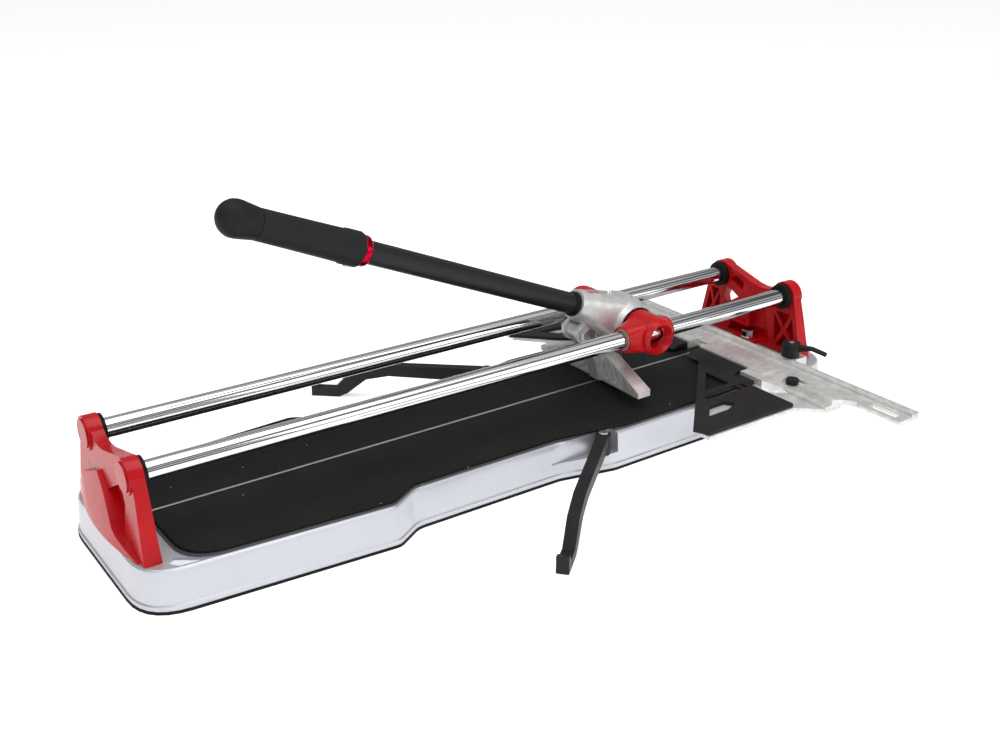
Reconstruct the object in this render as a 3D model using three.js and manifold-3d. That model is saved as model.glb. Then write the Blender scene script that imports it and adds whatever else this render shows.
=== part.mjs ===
// Manual two-rail tile cutter: base table, two end towers, sliding carriage with breaking lever,
// far-end stop with V plates and ruler, and two folding tile supports.
// Millimetres, Z up. X runs along the rails from the near tower's inner face, Y = 0 is the cut line.
import * as THREE from 'three';
import { mergeVertices } from 'three/addons/utils/BufferGeometryUtils.js';
import { ConvexGeometry } from 'three/addons/geometries/ConvexGeometry.js';
import Module from 'manifold-3d';

const wasm = await Module();
wasm.setup();

// Fits
const touch = 0.3;
const turning = 0.3;
const sliding = 0.4;

// Rails and towers
const railRadius = 11;
const railSpacing = 118.8;
const railHeight = 129.4;
const towerGap = 886;
const nearFace = -9;
const bossRadius = railRadius + 8;
const bossLength = 16;
const bossDisc = 16;
const discReach = 18;
const railGrip = 13;
const towerDepth = 18.5;
const towerBulge = 13;
const pocketDepth = 13;
const towerTaper = 0.32;
const footHalf = 98.7;
const towerTop = 148;
const skirtTop = 100;
const webShare = 0.74;
const flangeHalf = 20;
const flangeThick = 3.7;
const towerBoltRadius = 4;
const towerBoltHead = 9.5;

// Base table
const edgeThick = 3;
const lipTop = 8;
const deckTop = 47;
const trayWall = 3;
const deckPlateThick = 1.5;
const matThick = 3;
const deckPlateInset = 7.8;
const matInset = 10.5;
const ribWidth = 3;
const ribGap = 0.7;
const nearEnd = -40.3;
const farEnd = towerGap + 44;
const matNear = 11;
const matFar = towerGap - 20;

// Folding side supports
const armPivotX = 524;
const armPivotY = 123;
const armLength = 240;
const armHalf = 7;
const armOpen = 41;
const armPinRadius = 3.5;
const armPinHead = 6;
const armTop = 48.4;
const recessFloor = 22;
const recessWall = 112.5;

// Carriage and lever
const carriageX = 645;
const coverHubRadius = 24.5;
const coverInner = 38.5;
const coverOuter = 84;
const sleeveRadius = railRadius + 5.5;
const sleeveReach = 43;
const sleeveTail = 29;
const eyeRadius = 13.5;
const bushLength = 6;
const bushRadius = railRadius + 3;
const axleRadius = 12;
const headRadius = 35.6;
const headHalf = 33;
const rimRadius = 27.5;
const rimWidth = 4;
const leverPitch = 22.65;
const leverOffset = 5;
const leverReach = 552;
const tubeRadius = 13.3;
const socketRadius = tubeRadius + 5.7;
const collarRadius = tubeRadius + 2.4;
const neckRadius = tubeRadius + 4.1;
const socketMouth = leverReach - 81;
const socketDepth = 38;
const capStart = socketMouth + 11;
const capEnd = socketMouth + 39;
const capHalf = 8;
const screwAt = socketMouth + 50;
const gripRadius = tubeRadius + 5.3;
const ballRadius = tubeRadius + 7.2;
const gripEnd = 148;
const ringRadius = tubeRadius + 4.3;
const ringWidth = 10;
const pinX = carriageX - 65;
const pinZ = railHeight - 1.6;
const lugHalf = 15;
const lugGap = 10;
const boltRadius = 6;
const boltHead = 10.5;
const wheelX = carriageX;
const wheelZ = railHeight - 57.4;
const wheelRadius = 9;
const wheelThick = 2.4;
const holderHalf = 4;

// Far stop
const fenceX = towerGap - 103;
const fenceTop = 64;
const fenceGap = 11;
const fenceBar = 28;
const plateThick = 4.5;
const wingOut = 206;
const rulerNear = fenceX + 29;
const rulerWidth = 36;
const rulerTip = -322;
const rulerRear = 185;
const rulerRise = 66;
const camX = rulerNear + 41.5;
const camY = -110;
const knobX = fenceX + 20;
const knobY = -161;
const camRadius = 12;
const camLow = rulerRise + 0.6;
const camHigh = camLow + 18;

// ---------------------------------------------------------------- helpers

function solid(geometry) {
  const plain = geometry.index ? geometry.toNonIndexed() : geometry.clone();
  plain.deleteAttribute('normal');
  plain.deleteAttribute('uv');
  const merged = mergeVertices(plain, 1e-3);
  return new wasm.Manifold(new wasm.Mesh({
    numProp: 3,
    vertProperties: new Float32Array(merged.attributes.position.array),
    triVerts: new Uint32Array(merged.index.array),
  }));
}

function surface(body) {
  const mesh = body.getMesh();
  const geometry = new THREE.BufferGeometry();
  geometry.setAttribute('position', new THREE.BufferAttribute(mesh.vertProperties.slice(), 3));
  geometry.setIndex(new THREE.BufferAttribute(mesh.triVerts.slice(), 1));
  geometry.computeVertexNormals();
  return geometry;
}

function joined(bodies) {
  return bodies.reduce((whole, body) => whole.add(body));
}

function cut(body, tools) {
  return tools.reduce((left, tool) => left.subtract(tool), body);
}

function flatShape(points) {
  return new THREE.Shape(points.map(([a, b]) => new THREE.Vector2(a, b)));
}

// Polygon in plan, extruded upwards.
function slab(points, z0, z1) {
  const geometry = new THREE.ExtrudeGeometry(flatShape(points), { depth: z1 - z0, bevelEnabled: false });
  geometry.translate(0, 0, z0);
  return solid(geometry);
}

// Polygon of (x, z), extruded across the table.
function profileY(points, y0, y1) {
  const geometry = new THREE.ExtrudeGeometry(flatShape(points), { depth: y1 - y0, bevelEnabled: false });
  geometry.rotateX(Math.PI / 2);
  geometry.translate(0, y1, 0);
  return solid(geometry);
}

// Polygon of (y, z), extruded along the rails.
function profileX(points, x0, x1) {
  const geometry = new THREE.ExtrudeGeometry(flatShape(points), { depth: x1 - x0, bevelEnabled: false });
  geometry.rotateX(Math.PI / 2);
  geometry.rotateZ(Math.PI / 2);
  geometry.translate(x0, 0, 0);
  return solid(geometry);
}

function box(x0, x1, y0, y1, z0, z1) {
  const geometry = new THREE.BoxGeometry(x1 - x0, y1 - y0, z1 - z0);
  geometry.translate((x0 + x1) / 2, (y0 + y1) / 2, (z0 + z1) / 2);
  return solid(geometry);
}

function rodX(radius, x0, x1, y, z, sides = 20) {
  const geometry = new THREE.CylinderGeometry(radius, radius, x1 - x0, sides);
  geometry.rotateZ(-Math.PI / 2);
  geometry.translate((x0 + x1) / 2, y, z);
  return solid(geometry);
}

function rodY(radius, y0, y1, x, z, sides = 20) {
  const geometry = new THREE.CylinderGeometry(radius, radius, y1 - y0, sides);
  geometry.translate(x, (y0 + y1) / 2, z);
  return solid(geometry);
}

function rodZ(radius, z0, z1, x, y, sides = 16) {
  const geometry = new THREE.CylinderGeometry(radius, radius, z1 - z0, sides);
  geometry.rotateX(Math.PI / 2);
  geometry.translate(x, y, (z0 + z1) / 2);
  return solid(geometry);
}

function coneY(r0, r1, y0, y1, x, z, sides = 20) {
  const geometry = new THREE.CylinderGeometry(r1, r0, y1 - y0, sides);
  geometry.translate(x, (y0 + y1) / 2, z);
  return solid(geometry);
}

function hull(points) {
  return solid(new ConvexGeometry(points));
}

function circleX(radius, x, y, z, count = 14) {
  return Array.from({ length: count }, (_, k) => {
    const a = 2 * Math.PI * k / count;
    return new THREE.Vector3(x, y + radius * Math.cos(a), z + radius * Math.sin(a));
  });
}

function circleY(radius, y, x, z, count = 16) {
  return Array.from({ length: count }, (_, k) => {
    const a = 2 * Math.PI * k / count;
    return new THREE.Vector3(x + radius * Math.cos(a), y, z + radius * Math.sin(a));
  });
}

// Corner list [x, y, radius] to a closed outline with rounded corners.
function rounded(corners) {
  const outline = [];
  corners.forEach(([x, y, r], k) => {
    const [px, py] = corners[(k + corners.length - 1) % corners.length];
    const [nx, ny] = corners[(k + 1) % corners.length];
    const here = new THREE.Vector2(x, y);
    const back = new THREE.Vector2(px, py).sub(here).normalize();
    const ahead = new THREE.Vector2(nx, ny).sub(here).normalize();
    const half = Math.acos(THREE.MathUtils.clamp(back.dot(ahead), -1, 1)) / 2;
    const reach = r / Math.tan(half);
    const start = here.clone().addScaledVector(back, reach);
    const end = here.clone().addScaledVector(ahead, reach);
    const steps = half < 1 ? 7 : 2;
    for (let i = 0; i <= steps; i += 1) {
      const t = i / steps;
      const a = start.clone().lerp(here, t);
      const b = here.clone().lerp(end, t);
      outline.push(a.lerp(b, t));
    }
  });
  return outline;
}

function insetOutline(outline, inset) {
  return outline.map((here, k) => {
    const back = outline[(k + outline.length - 1) % outline.length];
    const ahead = outline[(k + 1) % outline.length];
    const first = here.clone().sub(back).normalize();
    const second = ahead.clone().sub(here).normalize();
    const n1 = new THREE.Vector2(-first.y, first.x);
    const n2 = new THREE.Vector2(-second.y, second.x);
    const normal = n1.add(n2).normalize();
    const stretch = 1 / Math.max(0.5, Math.abs(normal.dot(new THREE.Vector2(-first.y, first.x))));
    return here.clone().addScaledVector(normal, inset * stretch);
  });
}

// Solid through stacked outlines of equal point count: [[z, outline], ...].
function loft(levels) {
  const count = levels[0][1].length;
  const positions = [];
  const faces = [];
  levels.forEach(([z, outline]) => outline.forEach((p) => positions.push(p.x, p.y, z)));
  for (let level = 0; level < levels.length - 1; level += 1) {
    for (let k = 0; k < count; k += 1) {
      const next = (k + 1) % count;
      const a = level * count + k;
      const b = level * count + next;
      faces.push(a, b, b + count, a, b + count, a + count);
    }
  }
  const last = (levels.length - 1) * count;
  THREE.ShapeUtils.triangulateShape(levels[0][1], []).forEach(([a, b, c]) => faces.push(a, c, b));
  THREE.ShapeUtils.triangulateShape(levels[levels.length - 1][1], [])
    .forEach(([a, b, c]) => faces.push(last + a, last + b, last + c));
  const geometry = new THREE.BufferGeometry();
  geometry.setAttribute('position', new THREE.Float32BufferAttribute(positions, 3));
  geometry.setIndex(faces);
  return solid(geometry);
}

function pairs(outline) {
  return outline.map((p) => [p.x, p.y]);
}

function bent(body, move) {
  const geometry = surface(body);
  const at = geometry.attributes.position;
  for (let k = 0; k < at.count; k += 1) {
    const [x, y, z] = move(at.getX(k), at.getY(k), at.getZ(k));
    at.setXYZ(k, x, y, z);
  }
  return solid(geometry);
}

// ---------------------------------------------------------------- materials

const finishes = {
  silver: [0xc9cccf, 0.42, 0.75],
  castAluminium: [0xbfc0bd, 0.48, 0.8],
  redGloss: [0xc4121a, 0.3, 0.05],
  chrome: [0xd9dce0, 0.12, 1.0],
  steel: [0x9ea2a6, 0.3, 0.9],
  black: [0x18191b, 0.6, 0.0],
  rubber: [0x141414, 0.9, 0.0],
  darkDeck: [0x5b5e60, 0.55, 0.2],
  blackTube: [0x1b1b1d, 0.45, 0.2],
};

const root = new THREE.Group();
root.name = 'tile_cutter';

function node(name, finish, body) {
  const [color, roughness, metalness] = finishes[finish];
  const material = new THREE.MeshStandardMaterial({ color, roughness, metalness });
  material.name = finish;
  const mesh = new THREE.Mesh(surface(body), material);
  mesh.name = name;
  root.add(mesh);
}

// ---------------------------------------------------------------- base table

const railY = railSpacing / 2;
const frontSide = [
  [nearEnd, -119.5, 52],
  [236, -137.5, 16],
  [270, -116.5, 24],
  [464, -116.5, 24],
  [536, -132.5, 24],
  [700, -131, 60],
  [farEnd, -121, 52],
];
const rearSide = frontSide.map(([x, y, r]) => [x, -y, r]).reverse();
const floorOutline = rounded([...frontSide, ...rearSide]);

const deckPlateTop = deckTop + touch + deckPlateThick;
const matBottom = deckPlateTop + touch;
const matTop = matBottom + matThick;

function recess(grow) {
  const side = box(armPivotX - 69, armPivotX + 18 + grow, recessWall - grow, 160, recessFloor - grow, 60);
  return [side, side.mirror([0, 1, 0])];
}

function trayBody() {
  const outer = loft([
    [edgeThick + touch, floorOutline],
    [lipTop, floorOutline],
    [lipTop + 1.5, insetOutline(floorOutline, 1.6)],
    [deckTop - 7, insetOutline(floorOutline, 3.8)],
    [deckTop - 2, insetOutline(floorOutline, 4.8)],
    [deckTop, insetOutline(floorOutline, 7)],
  ]);
  const inner = loft([
    [0, insetOutline(floorOutline, trayWall + 1.6)],
    [deckTop - trayWall - 4, insetOutline(floorOutline, trayWall + 3.8)],
    [deckTop - trayWall, insetOutline(floorOutline, trayWall + 7)],
  ]);
  const hollow = cut(inner, recess(trayWall));
  const corner = slab([[-6, -101], [3, -95], [10, -99], [19, -106], [34, -112.5], [20, -114], [2, -112]],
    deckTop - 10, deckTop + 1);
  const pinHole = rodZ(armPinRadius + touch, 0, deckTop, armPivotX, -armPivotY);
  const boltHoles = [nearFace - 1, towerGap + 1].map((x) => rodZ(towerBoltRadius + touch, 30, 60, x, 0));
  const shell = cut(outer, recess(0)).subtract(hollow);
  return cut(shell, [corner, corner.mirror([0, 1, 0]), pinHole, pinHole.mirror([0, 1, 0]), ...boltHoles]);
}

function edgeBody() {
  const outer = slab(pairs(insetOutline(floorOutline, -0.8)), 0, edgeThick);
  return outer.subtract(slab(pairs(insetOutline(floorOutline, 4)), -1, edgeThick + 1));
}

// Table outline cut back at both ends and around the recess of the folding supports.
function tableOutline(inset, x0, x1) {
  const front = [
    [x0, -119.5 + inset - 2, 46],
    [236, -137.5 + inset, 16],
    [272, -116.5 + inset, 24],
    [466, -116.5 + inset, 24],
    [560, -133 + inset, 24],
    [700, -131 + inset, 60],
    [x1, -124 + inset, 46],
  ];
  const rear = front.map(([x, y, r]) => [x, -y, r]).reverse();
  return rounded([...front, ...rear]);
}

function deckPlateBody() {
  const outline = tableOutline(deckPlateInset, matNear - 2.5, matFar + 2.5);
  const plate = slab(pairs(outline), deckTop + touch, deckPlateTop);
  return cut(plate, recess(0.6));
}

function matBody(side) {
  const top = tableOutline(matInset, matNear, matFar);
  const whole = loft([
    [matBottom, top],
    [matTop - 1, top],
    [matTop, insetOutline(top, 1)],
  ]);
  const strip = ribWidth / 2 + ribGap;
  return side < 0
    ? whole.intersect(box(-100, 1000, -200, -strip, 0, 100))
    : whole.intersect(box(-100, 1000, strip, 200, 0, 100));
}

node('rubber_edge', 'rubber', edgeBody());
node('base_tray', 'silver', trayBody());
node('deck_plate', 'darkDeck', deckPlateBody());
node('mat_front', 'rubber', matBody(-1));
node('mat_rear', 'rubber', matBody(1));
const rib = box(matNear + 4, matFar - 4, -ribWidth / 2, ribWidth / 2, matBottom, matTop + 0.4);
node('breaking_rib', 'steel', rib);

// ---------------------------------------------------------------- towers (local x runs outwards)

function crossPockets(corners, depth) {
  const centre = corners.reduce(([a, b], [y, z]) => [a + y / 4, b + z / 4], [0, 0]);
  return corners.map((here, k) => {
    const next = corners[(k + 1) % 4];
    const triangle = [here, next, centre];
    const middle = triangle.reduce(([a, b], [y, z]) => [a + y / 3, b + z / 3], [0, 0]);
    const towards = (from, to) => from + webShare * (to - from);
    const shrunk = triangle.map(([y, z]) => [towards(middle[0], y), towards(middle[1], z)]);
    return profileX(shrunk, -1, depth);
  });
}

function towerBody() {
  const foot = deckTop + touch;
  const shoulder = railY + bossRadius;
  const silhouette = [
    [-footHalf, foot], [footHalf, foot], [92.5, 70], [85, 104], [shoulder, railHeight],
    [railY - 3.4, towerTop - 0.4],
    [16, 137], [-6, 131], [-19, 129.5], [-32, 131], [-44, 138], [-shoulder, railHeight],
    [-85, 104], [-92.5, 70],
  ];
  const wall = profileX(silhouette, 0, towerDepth);
  const arc = Array.from({ length: 11 }, (_, k) => {
    const y = footHalf - 2 * footHalf * k / 10;
    return [towerDepth + towerBulge * (1 - (y / footHalf) ** 2), y];
  });
  const bulge = slab([[2, -footHalf], [2, footHalf], ...arc].reverse(), foot, towerTop);
  const slope = profileY([
    [0, foot], [60, foot], [towerDepth + towerBulge, foot + 8],
    [towerDepth + 4.5, skirtTop + 6], [0, skirtTop + 6],
  ], -120, 120);
  const sail = profileX([[-footHalf, foot], [88, foot], [45, 60], [2, 92], [-20, skirtTop + 4], [-60, 88],
    [-90, 62]], 0, 50);
  const skirt = profileX(silhouette, 0, 50).intersect(bulge).intersect(slope).intersect(sail);
  const centre = profileX([[-40, 56], [0, 56], [0, 92], [-7, 118], [-28, 120]], -1, pocketDepth);
  const shelf = foot + flangeThick;
  const low = profileX([[-40, shelf], [40, shelf], [34, 66], [-36, 66]], -1, pocketDepth + 4);
  const side = profileX([[4, 69], [44, 69], [42, 80], [5, 96]], -1, 6);
  const arm = profileX([[16, 115], [40, 126], [30, 134], [14, 128]], -1, pocketDepth);
  const cavity = profileX([[2, 92], [37, 111], [49, 106], [54, 96], [45, 60]], 9, 60);
  const window = profileX([[23, 104], [49, 87], [48, 112], [38, 111.5]], -10, 60);
  const legs = [
    ...crossPockets([[-90, 54], [-48, 54], [-44, 108], [-79, 108]], pocketDepth),
    ...crossPockets([[56, 54], [90, 54], [79, 108], [58, 108]], pocketDepth),
  ];
  const cast = cut(wall.add(skirt), [centre, low, side, arm, cavity, window, ...legs]);
  const leaning = bent(cast, (x, y, z) => [x * (1 - towerTaper * (z - foot) / (towerTop - foot)), y, z]);
  const flange = box(-8, 18, -flangeHalf, flangeHalf, foot, foot + flangeThick);
  const bosses = [-railY, railY].flatMap((y) => [
    rodX(bossRadius, 0, bossLength, y, railHeight, 28),
    rodX(bossDisc, bossLength - 1, discReach, y, railHeight, 28),
  ]);
  const bores = [-railY, railY].map((y) => rodX(railRadius + touch, -1, railGrip + 1, y, railHeight, 28));
  const hole = rodZ(towerBoltRadius + touch, 30, 60, 1, 0);
  return cut(joined([leaning, flange, ...bosses]), [...bores, hole]);
}

const tower = towerBody();
node('near_tower', 'redGloss', tower.rotate([0, 0, 180]).translate([nearFace, 0, 0]));
node('far_tower', 'redGloss', tower.translate([towerGap, 0, 0]));

function towerBolt(x) {
  const seat = deckTop + touch + flangeThick + touch;
  const washer = rodZ(towerBoltHead + 0.6, seat, seat + 1.8, x, 0, 24);
  const head = rodZ(towerBoltHead, seat + 1.8, seat + 11.2, x, 0, 6);
  const shank = rodZ(towerBoltRadius, deckTop - 9, seat + 1, x, 0);
  return joined([washer, head, shank]);
}

node('near_tower_bolt', 'chrome', towerBolt(nearFace - 1));
node('far_tower_bolt', 'chrome', towerBolt(towerGap + 1));

[['front', -1], ['rear', 1]].forEach(([side, sign]) => {
  const y = sign * railY;
  node(`rail_${side}`, 'chrome', rodX(railRadius, nearFace - railGrip, towerGap + railGrip, y, railHeight, 28));
  const ring = (x0, x1, radius) => rodX(radius, x0, x1, y, railHeight)
    .subtract(rodX(railRadius + touch, x0 - 1, x1 + 1, y, railHeight));
  node(`near_collar_${side}`, 'rubber', ring(nearFace + touch, nearFace + 4.5, bossRadius - 1.5));
  node(`far_bumper_${side}`, 'rubber', ring(towerGap - 7.5, towerGap - touch, bossRadius - 2));
});

// ---------------------------------------------------------------- carriage

[['front', -1], ['rear', 1]].forEach(([side, sign]) => {
  const y = sign * railY;
  const inner = sign * coverInner;
  const outer = sign * coverOuter;
  const lo = Math.min(inner, outer);
  const hi = Math.max(inner, outer);
  const near = carriageX - sleeveReach;
  const far = carriageX + sleeveTail;
  const faceRadius = coverHubRadius - 5;
  const hub = hull([
    ...circleY(coverHubRadius, inner, carriageX, railHeight, 28),
    ...circleY(coverHubRadius, sign * (coverOuter - 10), carriageX, railHeight, 28),
    ...circleY(coverHubRadius - 1.4, sign * (coverOuter - 4), carriageX, railHeight, 28),
    ...circleY(faceRadius, outer, carriageX, railHeight, 28),
  ]);
  const sleeve = hull([
    ...circleX(sleeveRadius, near, y, railHeight, 24),
    ...circleX(sleeveRadius + 0.6, near + 8, y, railHeight, 24),
    ...circleY(coverHubRadius - 2, sign * (railY - 17), carriageX, railHeight),
    ...circleY(coverHubRadius - 4, sign * (railY + 17), carriageX, railHeight),
  ]);
  const tail = hull([
    ...circleY(coverHubRadius - 4, sign * (railY - 15), carriageX, railHeight),
    ...circleY(coverHubRadius - 5, sign * (railY + 15), carriageX, railHeight),
    ...circleX(sleeveRadius - 0.5, far, y, railHeight, 24),
  ]);
  const bore = rodX(railRadius + 2.2, near - 5, far + 5, y, railHeight);
  const seats = [near, far - bushLength - touch].map((x) => {
    const from = x === near ? x - 1 : x;
    const to = x === near ? x + bushLength + touch : far + 1;
    return rodX(bushRadius + touch, from, to, y, railHeight);
  });
  const eye = rodY(eyeRadius, Math.min(y, outer + sign), Math.max(y, outer + sign), carriageX, railHeight - 1);
  const flare = sign < 0
    ? coneY(eyeRadius + 5, eyeRadius, lo - 0.5, lo + 9, carriageX, railHeight - 1)
    : coneY(eyeRadius, eyeRadius + 5, hi - 9, hi + 0.5, carriageX, railHeight - 1);
  const seat = rodY(axleRadius + touch, sign < 0 ? -railY + 13 : 30, sign < 0 ? -30 : railY - 13, carriageX,
    railHeight);
  const body = cut(joined([hub, sleeve, tail]), [bore, ...seats, eye, flare, seat]);
  node(`cover_${side}`, 'redGloss', body);
  [['near', near], ['far', far - bushLength]].forEach(([end, x]) => {
    const bush = rodX(bushRadius, x, x + bushLength, y, railHeight)
      .subtract(rodX(railRadius + sliding, x - 1, x + bushLength + 1, y, railHeight));
    node(`bushing_${side}_${end}`, 'black', bush);
  });
  const sealLo = sign < 0 ? -coverInner + touch : headHalf + rimWidth + touch;
  const sealHi = sign < 0 ? -headHalf - rimWidth - touch : coverInner - touch;
  const seal = rodY(rimRadius - 1, sealLo, sealHi, carriageX, railHeight)
    .subtract(rodY(axleRadius + turning, sealLo - 1, sealHi + 1, carriageX, railHeight));
  node(`pivot_seal_${side}`, 'rubber', seal);
});

const axleEnd = railY - 13.5;
node('carriage_axle', 'steel', rodY(axleRadius, -axleEnd, axleEnd, carriageX, railHeight));

// ---------------------------------------------------------------- lever (local x runs along the handle)

const pitch = THREE.MathUtils.degToRad(leverPitch);
const along = [Math.cos(pitch), -Math.sin(pitch)];
const upward = [Math.sin(pitch), Math.cos(pitch)];

function leverPoint(s, lift = 0) {
  const reach = s - leverReach;
  return [
    carriageX + along[0] * reach + upward[0] * (leverOffset + lift),
    railHeight + along[1] * reach + upward[1] * (leverOffset + lift),
  ];
}

function onLever(geometry) {
  geometry.rotateY(pitch);
  const [x, z] = leverPoint(0);
  geometry.translate(x, 0, z);
  return solid(geometry);
}

// Turned piece from [s, radius] pairs along the handle axis.
function turned(profile, sides = 20) {
  const points = profile.map(([s, r]) => new THREE.Vector2(r, s));
  const geometry = new THREE.LatheGeometry(points, sides);
  geometry.rotateZ(-Math.PI / 2);
  return onLever(geometry);
}

function leverRod(radius, s0, s1, sides = 20) {
  return turned([[s0, 0], [s0, radius], [s1, radius], [s1, 0]], sides);
}

function leverRing(radius, s, count = 16) {
  return Array.from({ length: count }, (_, k) => {
    const a = 2 * Math.PI * k / count;
    const [x, z] = leverPoint(s, radius * Math.sin(a));
    return new THREE.Vector3(x, radius * Math.cos(a), z);
  });
}

function leverBlock(s0, s1, half, lift0, lift1) {
  const geometry = new THREE.BoxGeometry(s1 - s0, 2 * half, lift1 - lift0);
  geometry.translate((s0 + s1) / 2, 0, (lift0 + lift1) / 2);
  return onLever(geometry);
}

function headBody() {
  const crown = [[0, headRadius], [12, headRadius - 0.7], [20, headRadius - 2.6], [27, headRadius - 5.2],
    [headHalf, rimRadius + 1.2], [headHalf + rimWidth, rimRadius]];
  const half = crown.map(([y, r]) => new THREE.Vector2(r, y));
  const profile = [...half.slice(1).map((p) => new THREE.Vector2(p.x, -p.y)).reverse(), ...half];
  const end = headHalf + rimWidth;
  const ends = [new THREE.Vector2(0, -end), ...profile, new THREE.Vector2(0, end)];
  const lathe = new THREE.LatheGeometry(ends, 32);
  lathe.translate(carriageX, 0, railHeight);
  const barrel = solid(lathe);
  const socket = hull([
    ...leverRing(socketRadius, socketMouth, 24),
    ...leverRing(socketRadius + 1, socketMouth + 26, 24),
    ...circleY(headRadius - 3, -18, carriageX, railHeight, 24),
    ...circleY(headRadius - 3, 18, carriageX, railHeight, 24),
    ...circleY(headRadius - 9, -headHalf + 4, carriageX, railHeight, 24),
    ...circleY(headRadius - 9, headHalf - 4, carriageX, railHeight, 24),
  ]);
  const lug = hull([
    ...circleY(14, -lugHalf, pinX, pinZ),
    ...circleY(14, lugHalf, pinX, pinZ),
    ...circleY(14, -lugHalf, pinX + 26, pinZ + 22),
    ...circleY(14, lugHalf, pinX + 26, pinZ + 22),
  ]);
  const slot = box(pinX - 25, carriageX - headRadius - 2, -lugGap, lugGap, pinZ - 60, pinZ + 15.5);
  const bore = leverRod(tubeRadius + touch, socketMouth - 5, socketMouth + socketDepth);
  const axleBore = rodY(axleRadius + turning, -60, 60, carriageX, railHeight);
  const pinBore = rodY(boltRadius + touch, -40, 40, pinX, pinZ, 20);
  const facing = [[-60, -lugHalf], [lugHalf, 60]]
    .map(([from, to]) => rodY(boltHead + touch, from, to, pinX, pinZ, 20));
  const holderSlot = box(wheelX - 7 - touch, wheelX + 7 + touch, -holderHalf - touch, holderHalf + touch,
    80, railHeight - headRadius + 12.8);
  const capSeat = leverBlock(capStart, capEnd, capHalf, socketRadius - 2.6, socketRadius + 12);
  const screwSeat = leverRodAcross(screwAt, 5.8, socketRadius);
  const body = joined([barrel, socket, lug]);
  return cut(body, [slot, bore, axleBore, pinBore, ...facing, holderSlot, capSeat, screwSeat]);
}

function leverRodAcross(s, radius, from, to = 60, sides = 14) {
  const geometry = new THREE.CylinderGeometry(radius, radius, to - from, sides);
  geometry.rotateX(Math.PI / 2);
  geometry.translate(s, 0, (from + to) / 2);
  return onLever(geometry);
}

node('lever_head', 'castAluminium', headBody());
node('lever_tube', 'blackTube', leverRod(tubeRadius, 6, socketMouth + socketDepth - touch));
node('tube_collar', 'rubber', turned([
  [socketMouth - 7, tubeRadius + touch], [socketMouth - 6.5, tubeRadius + 1],
  [socketMouth - 3, collarRadius], [socketMouth - touch, collarRadius],
  [socketMouth - touch, tubeRadius + touch], [socketMouth - 7, tubeRadius + touch],
]));

const ballProfile = Array.from({ length: 9 }, (_, k) => {
  const a = Math.PI - Math.PI * 0.543 * k / 8;
  return [ballRadius * Math.cos(a), Math.max(0, ballRadius * Math.sin(a))];
});
node('grip_ball', 'black', turned([
  ...ballProfile, [24, neckRadius], [24, tubeRadius + touch], [6 - touch, tubeRadius + touch], [6 - touch, 0],
]));
node('grip_sleeve', 'rubber', turned([
  [24 + touch, tubeRadius + touch], [24 + touch, neckRadius], [60, gripRadius - 0.8], [110, gripRadius],
  [gripEnd - 22, gripRadius + 0.4], [gripEnd - 20, gripRadius + 1.4], [gripEnd - 2, gripRadius + 1.6],
  [gripEnd, gripRadius + 0.6], [gripEnd, tubeRadius + touch], [24 + touch, tubeRadius + touch],
]).subtract(leverRodAcross(gripEnd - 9, 3.3, -40, -(tubeRadius + 1.7))));
node('grip_screw', 'steel', leverRodAcross(gripEnd - 9, 3, -(tubeRadius + 8.3), -(tubeRadius + 1.7)));
node('grip_ring', 'redGloss', turned([
  [gripEnd + touch, tubeRadius + touch], [gripEnd + touch, ringRadius - 1], [gripEnd + 2, ringRadius],
  [gripEnd + ringWidth - 2, ringRadius], [gripEnd + ringWidth, ringRadius - 1.5],
  [gripEnd + ringWidth, tubeRadius + touch], [gripEnd + touch, tubeRadius + touch],
]));
node('lever_cap', 'redGloss', leverBlock(capStart + touch, capEnd - touch, capHalf - touch, socketRadius - 2.3,
  socketRadius + 1.6));
node('head_screw', 'chrome', leverRodAcross(screwAt, 5.2, socketRadius + touch, socketRadius + 7.5, 16));

// Scoring wheel under the carriage axle
const holderTop = railHeight - headRadius + 12.5;
const holder = box(wheelX - 7, wheelX + 7, -holderHalf, holderHalf, wheelZ - 4, holderTop)
  .subtract(box(wheelX - 12, wheelX + 12, -wheelThick / 2 - touch, wheelThick / 2 + touch, 50, wheelZ + 11))
  .subtract(rodY(1.8 + touch, -10, 10, wheelX, wheelZ, 14));
node('wheel_holder', 'steel', holder);
node('wheel_pin', 'steel', rodY(1.8, -holderHalf, holderHalf, wheelX, wheelZ, 14));
const wheelProfile = [
  [-wheelThick / 2, 2.1 + turning], [-wheelThick / 2, 6], [0, wheelRadius], [wheelThick / 2, 6],
  [wheelThick / 2, 2.1 + turning], [-wheelThick / 2, 2.1 + turning],
].map(([y, r]) => new THREE.Vector2(r, y));
const wheelGeometry = new THREE.LatheGeometry(wheelProfile, 28);
wheelGeometry.translate(wheelX, 0, wheelZ);
node('scoring_wheel', 'steel', solid(wheelGeometry));

// ---------------------------------------------------------------- breaking foot

const footFloor = matTop + 3.4;

function wing(sign) {
  const inner = [carriageX - 32, sign * 4];
  const tip = [carriageX - 48, sign * 100];
  const corner = (p, z) => new THREE.Vector3(p[0], p[1], z);
  const wide = (p, dx, z) => new THREE.Vector3(p[0] + dx, p[1], z);
  return hull([
    corner(inner, footFloor), wide(inner, 22, footFloor), corner(inner, 99), wide(inner, 15, 102),
    corner(tip, 65.5), wide(tip, 19, 65.5), corner(tip, 72), wide(tip, 19, 74),
  ]);
}

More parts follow.
